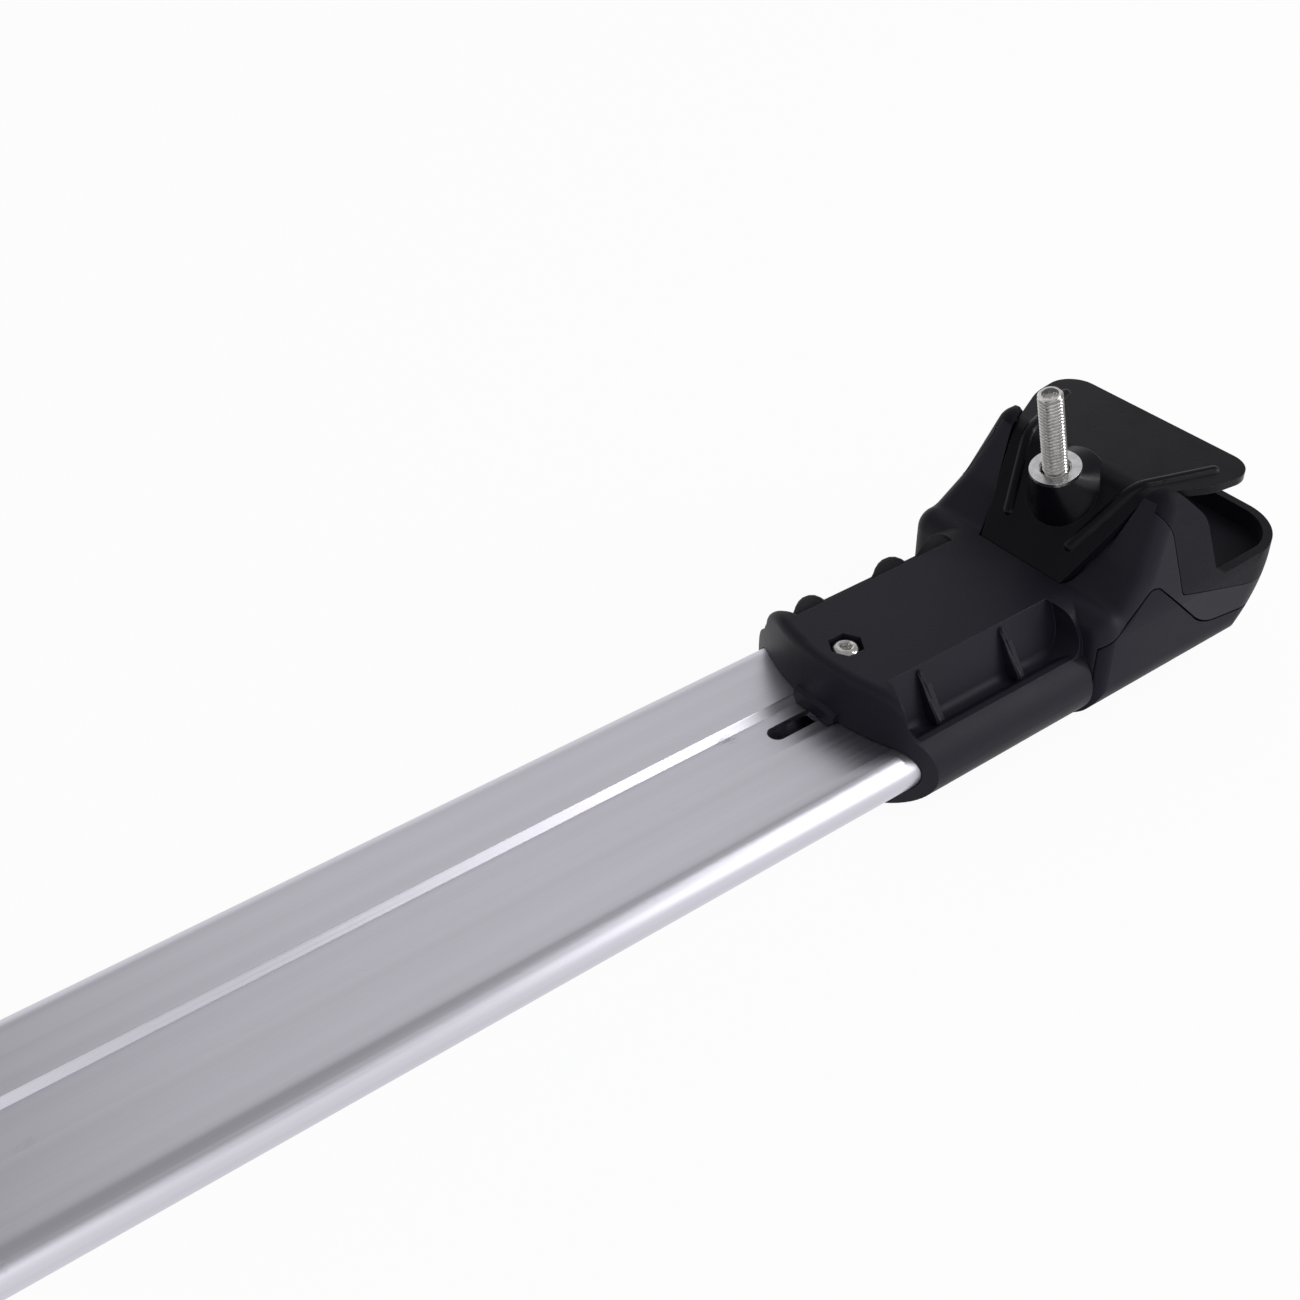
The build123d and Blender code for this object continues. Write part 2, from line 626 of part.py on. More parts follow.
# Key of the foot in the bar's channel
with BuildPart() as key:
    key_half_top = CHANNEL_OPENING / 2 - KEY_CLEARANCE
    key_half_floor = CHANNEL_FLOOR / 2 - KEY_CLEARANCE
    with BuildSketch(Plane.YZ.offset(EDGE_ARC_START - KEY_REACH)) as key_section:
        with BuildLine():
            Polyline(
                (-key_half_top, KEY_HEIGHT),
                (key_half_top, KEY_HEIGHT),
                (key_half_top, 0),
                (key_half_floor, KEY_CLEARANCE - CHANNEL_DEPTH),
                (-key_half_floor, KEY_CLEARANCE - CHANNEL_DEPTH),
                (-key_half_top, 0),
                close=True,
            )
        make_face()
    extrude(amount=KEY_LENGTH)
    chamfer(key.edges().filter_by(Axis.Y).group_by(Axis.X)[0].sort_by(Axis.Z)[-1], KEY_REACH)

with BuildPart() as housing:
    add(tower.part)
    add(cover_prism(COVER_GAP) - core_cover, mode=Mode.SUBTRACT)
    add(pad_prism(PAD_GAP) - core_pad, mode=Mode.SUBTRACT)
    liner_back = mouth_prism(MOUTH_RECESS + PAD_LINER, MOUTH_FLOOR_HEIGHT - PAD_LINER)
    add(core_pad & liner_back, mode=Mode.SUBTRACT)
    add(mouth_prism(0, MOUTH_SILL_HEIGHT), mode=Mode.SUBTRACT)
    add(sleeve.part)
    for side in (-1, 1):
        add(pocket_solid(side), mode=Mode.SUBTRACT)
    add(bar_room.part, mode=Mode.SUBTRACT)
    add(key.part)
    with BuildSketch(Plane.XY.offset(CROWN_HEIGHT - FOOT_SCREW_HEAD_HEIGHT - FOOT_SCREW_SUNK)) as hex_recess:
        with Locations((FOOT_SCREW_X, 0)):
            RegularPolygon(RECESS_HEX / 2, 6, major_radius=False)
    extrude(amount=CROWN_HEIGHT, mode=Mode.SUBTRACT)
    with BuildSketch(Plane.XY.offset(-BAR_NOSE_DEPTH)) as screw_hole:
        with Locations((FOOT_SCREW_X, 0)):
            Circle(FOOT_SCREW_DIAMETER / 2 + FOOT_SCREW_HOLE_CLEARANCE)
    extrude(amount=CROWN_HEIGHT + BAR_NOSE_DEPTH, mode=Mode.SUBTRACT)
    add(plate_room.part, mode=Mode.SUBTRACT)
    add(screw_room.part, mode=Mode.SUBTRACT)
    add(hinge_room.part, mode=Mode.SUBTRACT)
    add(lock_room.part, mode=Mode.SUBTRACT)

with BuildPart() as pad:
    add(tower.part & pad_prism(-PAD_GAP))
    add(core_pad, mode=Mode.SUBTRACT)
    add(tower.part & core_pad & liner_back)
    add(core_pad & mouth_prism(MOUTH_RECESS, MOUTH_FLOOR_HEIGHT), mode=Mode.SUBTRACT)
    add(mouth_prism(0, MOUTH_SILL_HEIGHT), mode=Mode.SUBTRACT)
    add(plate_room.part, mode=Mode.SUBTRACT)

with BuildPart() as cover:
    add(tower.part & cover_prism(-COVER_GAP))
    add(core_skin, mode=Mode.SUBTRACT)
    with BuildSketch(Plane.XZ) as knuckle:
        with Locations((hinge_x, HINGE_HEIGHT)):
            Circle(KNUCKLE_DIAMETER / 2)
        with Locations((hinge_x, (hinge_arm_low + hinge_arm_high) / 2)):
            Rectangle(HINGE_SETBACK + 2 * COVER_WALL, COVER_WALL, align=(Align.MIN, Align.CENTER))
    extrude(amount=KNUCKLE_WIDTH / 2, both=True)
    with BuildSketch(Plane.XZ) as knuckle_bore:
        with Locations((hinge_x, HINGE_HEIGHT)):
            Circle(HINGE_PIN_DIAMETER / 2 + HINGE_RUNNING_FIT)
    extrude(amount=KNUCKLE_WIDTH, both=True, mode=Mode.SUBTRACT)
    with BuildSketch(Plane.XY.offset(COVER_WALL / 2 - TOWER_BELLY_DEPTH)) as barrel_seat:
        with Locations((lock_x, 0)):
            Circle(barrel_seat_radius)
    extrude(amount=COVER_WALL / 2 + BARREL_SEAT_LENGTH)
    with BuildSketch(Plane.XY.offset(deep)) as barrel_hole:
        with Locations((lock_x, 0)):
            Circle(BARREL_DIAMETER / 2 + BARREL_FIT)
    extrude(amount=-2 * deep, mode=Mode.SUBTRACT)

with BuildPart() as hinge_pin:
    with BuildSketch(Plane.XZ) as pin_section:
        with Locations((hinge_x, HINGE_HEIGHT)):
            Circle(HINGE_PIN_DIAMETER / 2)
    extrude(amount=HINGE_PIN_LENGTH / 2, both=True)

# Lock: barrel held by the cover, plug with a keyway, cam on its inner end
with BuildPart() as barrel:
    with BuildSketch(Plane.XY.offset(barrel_low)) as barrel_section:
        with Locations((lock_x, 0)):
            Circle(BARREL_DIAMETER / 2)
            Circle(PLUG_DIAMETER / 2 + PLUG_RUNNING_FIT, mode=Mode.SUBTRACT)
    extrude(amount=BARREL_LENGTH)

with BuildPart() as plug:
    with BuildSketch(Plane.XY.offset(barrel_low)) as plug_section:
        with Locations((lock_x, 0)):
            Circle(PLUG_DIAMETER / 2)
    extrude(amount=BARREL_LENGTH + CAM_CLEARANCE)
    with BuildSketch(Plane.XY.offset(barrel_low)) as keyway:
        with Locations((lock_x, 0)):
            Rectangle(KEYWAY_WIDTH, KEYWAY_LENGTH)
    extrude(amount=KEYWAY_DEPTH, mode=Mode.SUBTRACT)

with BuildPart() as cam:
    with BuildSketch(Plane.XY.offset(cam_low)) as cam_section:
        with Locations((lock_x, 0)):
            Circle(PLUG_DIAMETER / 2)
        with Locations((lock_x, (CAM_REACH - CAM_WIDTH / 2) / 2)):
            Rectangle(CAM_WIDTH, CAM_REACH - CAM_WIDTH / 2)
        with Locations((lock_x, CAM_REACH - CAM_WIDTH / 2)):
            Circle(CAM_WIDTH / 2)
    extrude(amount=CAM_THICKNESS)

# Clamp plate: bent sheet, conical boss for the nut and two beads
boss_base = Plane(
    origin=(
        SLEEVE_LENGTH + BOSS_BASE_RUN,
        0,
        PLATE_FOOT_HEIGHT + (BOSS_BASE_RUN - PLATE_FOOT_RUN) * tan(radians(PLATE_SLOPE)),
    ),
    x_dir=(slope_cos, 0, slope_sin),
    z_dir=(-slope_sin, 0, slope_cos),
)
nut_seat = screw_line.offset(-NUT_FLANGE_THICKNESS)


def boss_form(base_plane, base_radius, top_plane, top_radius):
    """Leaning cone between the sloping sheet and the seat of the nut."""
    with BuildPart() as form:
        with BuildSketch(base_plane):
            Circle(base_radius)
        with BuildSketch(top_plane):
            Circle(top_radius)
        loft()
    return form.part


bead_depth = BEAD_HEIGHT - BEAD_RADIUS
bead_shift = (1 - slope_cos) / slope_sin
bead_start_x = SLEEVE_LENGTH + BEAD_START_RUN
bead_start_z = PLATE_FOOT_HEIGHT + (BEAD_START_RUN - PLATE_FOOT_RUN) * tan(radians(PLATE_SLOPE))

with BuildPart() as beads:
    with BuildLine() as bead_path:
        FilletPolyline(
            (
                bead_start_x - bead_depth * slope_sin,
                -BEAD_START_HALF_WIDTH,
                bead_start_z + bead_depth * slope_cos,
            ),
            (
                plate_bend[0] - bead_depth * bead_shift,
                -BEAD_BEND_HALF_WIDTH,
                PLATE_TOP_HEIGHT + bead_depth,
            ),
            (SLEEVE_LENGTH + BEAD_END_RUN, -BEAD_END_HALF_WIDTH, PLATE_TOP_HEIGHT + bead_depth),
            radius=PLATE_BEND,
        )
    with BuildSketch(Plane(bead_path.line @ 0, z_dir=bead_path.line % 0)) as bead_section:
        Circle(BEAD_RADIUS)
    sweep(sections=bead_section.sketch, path=bead_path.line)
    with Locations(bead_path.line @ 0, bead_path.line @ 1):
        Sphere(BEAD_RADIUS)
    add(side_prism(plate_side(PLATE_THICKNESS / 2, 2 * BEAD_HEIGHT)), mode=Mode.INTERSECT)
    mirror(about=Plane.XZ)

with BuildPart() as plate:
    band = plate_side(PLATE_THICKNESS, 0)
    add(side_prism(band, [(band[1], PLATE_BEND), (band[4], PLATE_BEND - PLATE_THICKNESS)]))
    add(extrude(plate_plan(0), amount=high, mode=Mode.PRIVATE), mode=Mode.INTERSECT)
    add(beads.part)
    add(boss_form(boss_base.offset(-PLATE_THICKNESS), BOSS_BASE_RADIUS, nut_seat, BOSS_TOP_RADIUS))
    add(
        boss_form(
            boss_base.offset(-PLATE_THICKNESS - BEAD_HEIGHT),
            BOSS_BASE_RADIUS - PLATE_THICKNESS,
            nut_seat.offset(-PLATE_THICKNESS),
            NUT_BARREL_DIAMETER / 2 + THREAD_CLEARANCE,
        ),
        mode=Mode.SUBTRACT,
    )
    with BuildSketch(screw_line) as nut_hole:
        Circle(NUT_BARREL_DIAMETER / 2 + THREAD_CLEARANCE)
    extrude(amount=-NUT_BARREL_LENGTH - PLATE_THICKNESS, mode=Mode.SUBTRACT)

with BuildPart() as nut:
    with BuildSketch(screw_line) as flange:
        Circle(NUT_FLANGE_DIAMETER / 2)
    extrude(amount=-NUT_FLANGE_THICKNESS)
    with BuildSketch(screw_line) as nut_barrel:
        Circle(NUT_BARREL_DIAMETER / 2)
    extrude(amount=-NUT_FLANGE_THICKNESS - NUT_BARREL_LENGTH)
    with BuildSketch(screw_line) as nut_opening:
        Circle(NUT_BORE / 2)
    extrude(amount=-high, mode=Mode.SUBTRACT)
    round_edges = nut.edges().filter_by(GeomType.CIRCLE)
    rims = round_edges.filter_by(lambda edge: abs(edge.radius - NUT_BORE / 2) < THREAD_CLEARANCE)
    chamfer(rims.sort_by(Axis.Z)[-1], NUT_CHAMFER)

with BuildPart() as bolt:
    with BuildSketch(screw_line.offset(BOLT_FREE_END)) as shank:
        Circle(BOLT_DIAMETER / 2)
    extrude(amount=-BOLT_FREE_END - BOLT_BELOW_SEAT)
    with BuildSketch(screw_line.offset(-BOLT_BELOW_SEAT)) as head:
        Circle(BOLT_HEAD_DIAMETER / 2)
    extrude(amount=-BOLT_HEAD_HEIGHT)
    with BuildSketch(screw_line.offset(-BOLT_BELOW_SEAT - BOLT_HEAD_HEIGHT)) as bolt_socket:
        RegularPolygon(BOLT_SOCKET_WIDTH / 2, 6, major_radius=False)
    extrude(amount=BOLT_SOCKET_DEPTH, mode=Mode.SUBTRACT)

with BuildPart() as washer:
    with BuildSketch(screw_line.offset(WASHER_THICKNESS + WASHER_GAP - BOLT_BELOW_SEAT)) as washer_section:
        Circle(WASHER_DIAMETER / 2)
        Circle(NUT_BORE / 2, mode=Mode.SUBTRACT)
    extrude(amount=-WASHER_THICKNESS)

# Foot screw and the square nut inside the bar
head_seat = CROWN_HEIGHT - FOOT_SCREW_HEAD_HEIGHT - FOOT_SCREW_SUNK
slide_nut_top = nut_hollow_top - SLIDE_CLEARANCE
slide_nut_low = slide_nut_top - SLIDE_NUT_THICKNESS
with BuildPart() as foot_screw:
    with BuildSketch(Plane.XY.offset(head_seat)) as button:
        with Locations((FOOT_SCREW_X, 0)):
            Circle(FOOT_SCREW_HEAD / 2)
    extrude(amount=FOOT_SCREW_HEAD_HEIGHT)
    fillet(foot_screw.edges().group_by(Axis.Z)[-1], FOOT_SCREW_HEAD_HEIGHT / 2)
    with BuildSketch(Plane.XY.offset(head_seat + FOOT_SCREW_HEAD_HEIGHT)) as screw_socket:
        with Locations((FOOT_SCREW_X, 0)):
            RegularPolygon(FOOT_SCREW_SOCKET / 2, 6, major_radius=False)
    extrude(amount=-FOOT_SCREW_SOCKET_DEPTH, mode=Mode.SUBTRACT)
    with BuildSketch(Plane.XY.offset(head_seat)) as screw_shank:
        with Locations((FOOT_SCREW_X, 0)):
            Circle(FOOT_SCREW_DIAMETER / 2)
    extrude(amount=slide_nut_low - head_seat)

with BuildPart() as slide_nut:
    with BuildSketch(Plane.XY.offset(slide_nut_low)) as nut_block:
        with Locations((FOOT_SCREW_X, 0)):
            Rectangle(SLIDE_NUT_LENGTH, SLIDE_NUT_WIDTH)
            Circle(FOOT_SCREW_DIAMETER / 2 + THREAD_CLEARANCE, mode=Mode.SUBTRACT)
    extrude(amount=SLIDE_NUT_THICKNESS)
    chamfer(slide_nut.edges().filter_by(Axis.Z), SLIDE_NUT_CHAMFER)

foot_pieces = {
    "foot_housing": housing.part,
    "mouth_pad": pad.part,
    "lock_cover": cover.part,
    "cover_hinge_pin": hinge_pin.part,
    "lock_barrel": barrel.part,
    "lock_plug": plug.part,
    "lock_cam": cam.part,
    "clamp_plate": plate.part,
    "clamp_nut": nut.part,
    "clamp_bolt": bolt.part,
    "thrust_washer": washer.part,
    "foot_screw": foot_screw.part,
    "slide_nut": slide_nut.part,
}

# Both feet: the right one is moved to its end of the bar, the left one is its mirror image
for name, piece in foot_pieces.items():
    with BuildPart() as right_piece:
        add(piece.moved(Location((foot_x, 0, base_depth))))
    right_piece.part.label = "right_" + name
    export_step(right_piece.part, "parts/right_" + name + ".step")
    with BuildPart() as left_piece:
        add(mirror(right_piece.part, about=Plane.YZ, mode=Mode.PRIVATE))
    left_piece.part.label = "left_" + name
    export_step(left_piece.part, "parts/left_" + name + ".step")

# Extruded bar between the feet, drawn in the foot's height and raised to its place
bar_length = 2 * (foot_x + bar_end)
slot_inner = FOOT_SCREW_X - SLOT_INWARD
slot_outer = FOOT_SCREW_X + SLOT_OUTWARD
with BuildSketch() as side_hollows:
    add(aero_outline(-BAR_WALL))
    Rectangle(NUT_HOLLOW_WIDTH + 2 * BAR_WEB, 2 * bar_depth, mode=Mode.SUBTRACT)

with BuildPart() as bar_profile:
    with BuildSketch(Plane.YZ.offset(-bar_length / 2)) as bar_section:
        add(aero_outline(0))
        with BuildLine():
            Polyline(
                (-CHANNEL_OPENING / 2, 0),
                (-CHANNEL_FLOOR / 2, -CHANNEL_DEPTH),
                (CHANNEL_FLOOR / 2, -CHANNEL_DEPTH),
                (CHANNEL_OPENING / 2, 0),
                close=True,
            )
        make_face(mode=Mode.SUBTRACT)
        with Locations((0, nut_hollow_top)):
            Rectangle(NUT_HOLLOW_WIDTH, NUT_HOLLOW_HEIGHT, align=(Align.CENTER, Align.MAX), mode=Mode.SUBTRACT)
        with Locations((0, TSLOT_LIP - bar_depth)):
            Rectangle(TSLOT_WIDTH, TSLOT_HEIGHT, align=(Align.CENTER, Align.MIN), mode=Mode.SUBTRACT)
        with Locations((0, -bar_depth)):
            Rectangle(TSLOT_MOUTH, 2 * TSLOT_LIP, mode=Mode.SUBTRACT)
        add(side_hollows.sketch, mode=Mode.SUBTRACT)
    extrude(amount=bar_length)
    with BuildSketch(Plane.XY) as screw_slots:
        with Locations((foot_x + (slot_inner + slot_outer) / 2, 0), (-foot_x - (slot_inner + slot_outer) / 2, 0)):
            SlotOverall(slot_outer - slot_inner, SLOT_WIDTH)
    extrude(amount=nut_hollow_top - CHANNEL_DEPTH, mode=Mode.SUBTRACT)

with BuildPart() as slot_strip:
    with BuildSketch(Plane.YZ.offset(-bar_length / 2)) as strip_section:
        with Locations((0, -bar_depth)):
            strip_height = TSLOT_LIP + STRIP_FLANGE_HEIGHT
            Rectangle(TSLOT_MOUTH - 2 * STRIP_CLEARANCE, strip_height, align=(Align.CENTER, Align.MIN))
        with Locations((0, TSLOT_LIP - bar_depth)):
            Rectangle(STRIP_FLANGE_WIDTH, STRIP_FLANGE_HEIGHT, align=(Align.CENTER, Align.MIN))
        add(aero_outline(0), mode=Mode.INTERSECT)
    extrude(amount=bar_length)

for name, piece in (("bar_profile", bar_profile.part), ("slot_strip", slot_strip.part)):
    with BuildPart() as shared_piece:
        add(piece.moved(Location((0, 0, base_depth))))
    shared_piece.part.label = name
    export_step(shared_piece.part, "parts/" + name + ".step")
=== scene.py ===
from math import cos, pi, radians, sin, tau

import bmesh
import bpy
from mathutils import Matrix, Vector
from mathutils.bvhtree import BVHTree


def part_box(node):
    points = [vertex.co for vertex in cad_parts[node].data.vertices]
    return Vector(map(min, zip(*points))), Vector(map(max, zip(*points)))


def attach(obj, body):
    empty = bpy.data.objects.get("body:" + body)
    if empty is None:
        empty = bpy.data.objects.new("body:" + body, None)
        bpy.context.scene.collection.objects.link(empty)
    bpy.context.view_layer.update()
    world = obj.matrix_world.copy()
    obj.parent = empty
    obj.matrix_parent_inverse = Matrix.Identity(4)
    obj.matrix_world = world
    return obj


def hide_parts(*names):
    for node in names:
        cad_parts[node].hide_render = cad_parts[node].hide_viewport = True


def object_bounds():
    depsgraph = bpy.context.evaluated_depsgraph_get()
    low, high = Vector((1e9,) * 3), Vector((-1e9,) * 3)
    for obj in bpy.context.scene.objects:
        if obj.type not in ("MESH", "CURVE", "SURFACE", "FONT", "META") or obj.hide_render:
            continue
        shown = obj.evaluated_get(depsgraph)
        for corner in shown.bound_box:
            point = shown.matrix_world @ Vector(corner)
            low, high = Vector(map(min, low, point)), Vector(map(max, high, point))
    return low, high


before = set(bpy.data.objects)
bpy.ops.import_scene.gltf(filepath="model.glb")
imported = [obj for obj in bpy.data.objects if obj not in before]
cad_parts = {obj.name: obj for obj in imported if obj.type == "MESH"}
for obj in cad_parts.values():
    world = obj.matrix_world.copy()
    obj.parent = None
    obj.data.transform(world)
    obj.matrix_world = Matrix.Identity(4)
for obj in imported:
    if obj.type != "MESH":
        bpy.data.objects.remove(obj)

cad_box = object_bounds()
MM = 0.001
scene = bpy.context.scene
scene.view_settings.view_transform = "Standard"

# Camera, at the photograph's angle
CAMERA_PLACE = Vector((0.15877, -0.29004, 0.35577))
CAMERA_RIGHT = Vector((0.80105, -0.59844, -0.01374)).normalized()
CAMERA_BACK = Vector((-0.46598, -0.63782, 0.61323)).normalized()
CAMERA_LENS = 47.9
CAMERA_SENSOR = 36.0
NEAREST_SEEN = 0.01
FURTHEST_SEEN = 100.0
camera_up = CAMERA_BACK.cross(CAMERA_RIGHT)
camera = bpy.data.objects.new("camera", bpy.data.cameras.new("camera"))
camera.data.lens = CAMERA_LENS
camera.data.sensor_width = CAMERA_SENSOR
camera.data.clip_start = NEAREST_SEEN
camera.data.clip_end = FURTHEST_SEEN
camera_turn = Matrix((CAMERA_RIGHT, camera_up, CAMERA_BACK)).transposed().to_4x4()
camera.matrix_world = Matrix.Translation(CAMERA_PLACE) @ camera_turn
scene.collection.objects.link(camera)
scene.camera = camera


# ---- materials

RANGE_SOCKETS = ("From Min", "From Max", "To Min", "To Max")
MIX_SHARE, MIX_FIRST, MIX_SECOND, MIX_COLOUR = 0, 6, 7, 2
EDGE_SAMPLES = 6


class Finish:
    """A Principled material whose colour, roughness and relief come from procedural nodes."""

    def __init__(self, name, **fixed):
        self.material = bpy.data.materials.new(name)
        self.material.use_nodes = True
        self.nodes = self.material.node_tree.nodes
        self.surface = self.nodes["Principled BSDF"]
        for socket, value in fixed.items():
            self.surface.inputs[socket.replace("_", " ")].default_value = value
        self.place = self.nodes.new("ShaderNodeTexCoord").outputs["Object"]
        self.normal = None

    def link(self, source, target):
        self.material.node_tree.links.new(source, target)

    def noise(self, scale, detail=2.0, stretch=(1, 1, 1), roughness=0.5):
        """Noise of that many features per metre, drawn out along the axes by stretch."""
        mapping = self.nodes.new("ShaderNodeMapping")
        mapping.inputs["Scale"].default_value = stretch
        self.link(self.place, mapping.inputs["Vector"])
        texture = self.nodes.new("ShaderNodeTexNoise")
        texture.inputs["Scale"].default_value = scale
        texture.inputs["Detail"].default_value = detail
        texture.inputs["Roughness"].default_value = roughness
        self.link(mapping.outputs["Vector"], texture.inputs["Vector"])
        return texture.outputs["Fac"]

    def cells(self, scale):
        """Small rounded cells, that many per metre."""
        texture = self.nodes.new("ShaderNodeTexVoronoi")
        texture.feature = "SMOOTH_F1"
        texture.inputs["Scale"].default_value = scale
        self.link(self.place, texture.inputs["Vector"])
        return texture.outputs["Distance"]

    def spread(self, source, low, high, to_low, to_high):
        """source from low..high, mapped to to_low..to_high and kept inside."""
        node = self.nodes.new("ShaderNodeMapRange")
        for socket, value in zip(RANGE_SOCKETS, (low, high, to_low, to_high)):
            node.inputs[socket].default_value = value
        self.link(source, node.inputs["Value"])
        return node.outputs["Result"]

    def math(self, operation, first, second):
        node = self.nodes.new("ShaderNodeMath")
        node.operation = operation
        for socket, value in zip(node.inputs, (first, second)):
            if isinstance(value, (int, float)):
                socket.default_value = value
            else:
                self.link(value, socket)
        return node.outputs["Value"]

    def blend(self, share, first, second):
        """Colour first where share is 0, second where it is 1; each is a colour or a socket."""
        node = self.nodes.new("ShaderNodeMix")
        node.data_type = "RGBA"
        self.link(share, node.inputs[MIX_SHARE])
        for place, value in ((MIX_FIRST, first), (MIX_SECOND, second)):
            if isinstance(value, tuple):
                node.inputs[place].default_value = (*value, 1.0)
            else:
                self.link(value, node.inputs[place])
        return node.outputs[MIX_COLOUR]

    def edges(self, width, low=0.985, high=0.86):
        """1 within about width of a sharp edge, 0 elsewhere; also rounds the edge's shading."""
        bevel = self.nodes.new("ShaderNodeBevel")
        bevel.samples = EDGE_SAMPLES
        bevel.inputs["Radius"].default_value = width
        geometry = self.nodes.new("ShaderNodeNewGeometry")
        dot = self.nodes.new("ShaderNodeVectorMath")
        dot.operation = "DOT_PRODUCT"
        self.link(bevel.outputs["Normal"], dot.inputs[0])
        self.link(geometry.outputs["Normal"], dot.inputs[1])
        self.normal = bevel.outputs["Normal"]
        return self.spread(dot.outputs["Value"], low, high, 0.0, 1.0)

    def relief(self, source, depth):
        """Adds a relief of that depth in metres on top of the ones before."""
        node = self.nodes.new("ShaderNodeBump")
        node.inputs["Strength"].default_value = 1.0
        node.inputs["Distance"].default_value = depth
        self.link(source, node.inputs["Height"])
        if self.normal is not None:
            self.link(self.normal, node.inputs["Normal"])
        self.normal = node.outputs["Normal"]

    def done(self, colour, roughness):
        """The material, with that colour and roughness and the reliefs so far."""
        self.link(colour, self.surface.inputs["Base Color"])
        self.link(roughness, self.surface.inputs["Roughness"])
        if self.normal is not None:
            self.link(self.normal, self.surface.inputs["Normal"])
        return self.material


def moulded(name, colour, edge_wear_and_highlight, rough, grain, depth, specular):
    """Moulded black plastic: fine even grain, faint cloudiness and slightly polished edges,
    lightened in patches partly as wear and partly as a painted highlight.
    """
    finish = Finish(name, Specular_IOR_Level=specular, IOR=1.49)
    edge = finish.edges(width=0.35 * MM)
    cloud = finish.noise(scale=38.0, detail=3.0)
    pits = finish.noise(scale=grain, detail=2.5, roughness=0.65)
    cell_share = 0.55
    finish.relief(finish.cells(grain * cell_share), depth)
    finish.relief(pits, depth)
    patches = finish.noise(scale=160.0, detail=3.0)
    patches = finish.spread(patches, low=0.35, high=0.62, to_low=0.25, to_high=0.9)
    wear_and_highlight = finish.math("MULTIPLY", edge, patches)
    tone = finish.spread(cloud, low=0.3, high=0.7, to_low=0.0, to_high=1.0)
    fine_tone = finish.spread(pits, low=0.3, high=0.7, to_low=0.4, to_high=1.0)
    lighter_by = 1.35
    lighter = tuple(c * lighter_by for c in colour)
    base = finish.blend(finish.math("MULTIPLY", tone, fine_tone), colour, lighter)
    # Edges lightened in patches: partly wear, partly a painted highlight.
    base = finish.blend(wear_and_highlight, base, edge_wear_and_highlight)
    edge_polish = -0.35
    polish = finish.math("ADD", cloud, finish.math("MULTIPLY", edge, edge_polish))
    gloss = finish.spread(polish, low=0.1, high=0.75, to_low=rough - 0.1, to_high=rough + 0.06)
    return finish.done(base, gloss)


def rubber(name, colour, rough):
    """Soft rubber: duller and smoother than the plastic, with fine dust in its colour."""
    finish = Finish(name, Specular_IOR_Level=0.11, Sheen_Weight=0.02, Sheen_Roughness=0.6)
    finish.edges(width=0.4 * MM)
    skin = finish.noise(scale=1500.0, detail=2.0)
    finish.relief(skin, depth=0.012 * MM)
    specks = finish.noise(scale=55.0, detail=5.0, roughness=0.7)
    dust = finish.spread(specks, low=0.48, high=0.75, to_low=0.0, to_high=0.6)
    dust_gain = 1.7
    dust_lift = 0.002
    base = finish.blend(dust, colour, tuple(c * dust_gain + dust_lift for c in colour))
    gloss = finish.spread(skin, low=0.25, high=0.75, to_low=rough - 0.05, to_high=rough + 0.08)
    return finish.done(base, gloss)


def painted_steel():
    """Black paint on pressed sheet: orange peel, and a lighter line in patches on cut edges, partly
    where the paint thins and partly a painted highlight.
    """
    finish = Finish("plate_paint", Specular_IOR_Level=0.12)
    dark, light = (0.0040, 0.0034, 0.0060), (0.0066, 0.0056, 0.0092)
    edge_highlight_colour = (0.11, 0.11, 0.12)
    edge = finish.edges(width=0.3 * MM, low=0.90, high=0.72)
    peel = finish.noise(scale=420.0, detail=1.5)
    finish.relief(peel, depth=0.018 * MM)
    patches = finish.noise(scale=240.0, detail=4.0)
    patches = finish.spread(patches, low=0.40, high=0.66, to_low=0.15, to_high=0.75)
    thin_paint_and_highlight = finish.math("MULTIPLY", edge, patches)
    tone = finish.noise(scale=30.0, detail=3.0)
    tone = finish.spread(tone, low=0.3, high=0.7, to_low=0.0, to_high=1.0)
    base = finish.blend(tone, dark, light)
    # Cut edges lightened in patches: partly thinned paint, partly a painted highlight.
    base = finish.blend(thin_paint_and_highlight, base, edge_highlight_colour)
    gloss = finish.noise(scale=90.0, detail=4.0)
    gloss = finish.spread(gloss, low=0.3, high=0.7, to_low=0.24, to_high=0.33)
    return finish.done(base, gloss)


def plated(name, colour, dull, rough, scale, rounding=0.15 * MM):
    """Plated or stainless steel, faintly mottled; with rounding 0 its edges stay sharp, otherwise
    they get rounded shading and a painted highlight.
    """
    finish = Finish(name, Metallic=1.0)
    edge = finish.edges(rounding) if rounding else None
    mottle = finish.noise(scale, detail=4.0, roughness=0.6)
    finish.relief(finish.noise(scale=2600.0, detail=1.0), depth=0.004 * MM)
    tone = finish.spread(mottle, low=0.35, high=0.68, to_low=0.0, to_high=1.0)
    base = finish.blend(tone, dull, colour)
    # Painted highlight: colour raised along edges.
    if rounding:
        edge_highlight_gain = 1.15
        base = finish.blend(edge, base, tuple(min(1.0, c * edge_highlight_gain) for c in colour))
    gloss = finish.spread(mottle, low=0.3, high=0.7, to_low=rough + 0.06, to_high=rough - 0.05)
    return finish.done(base, gloss)


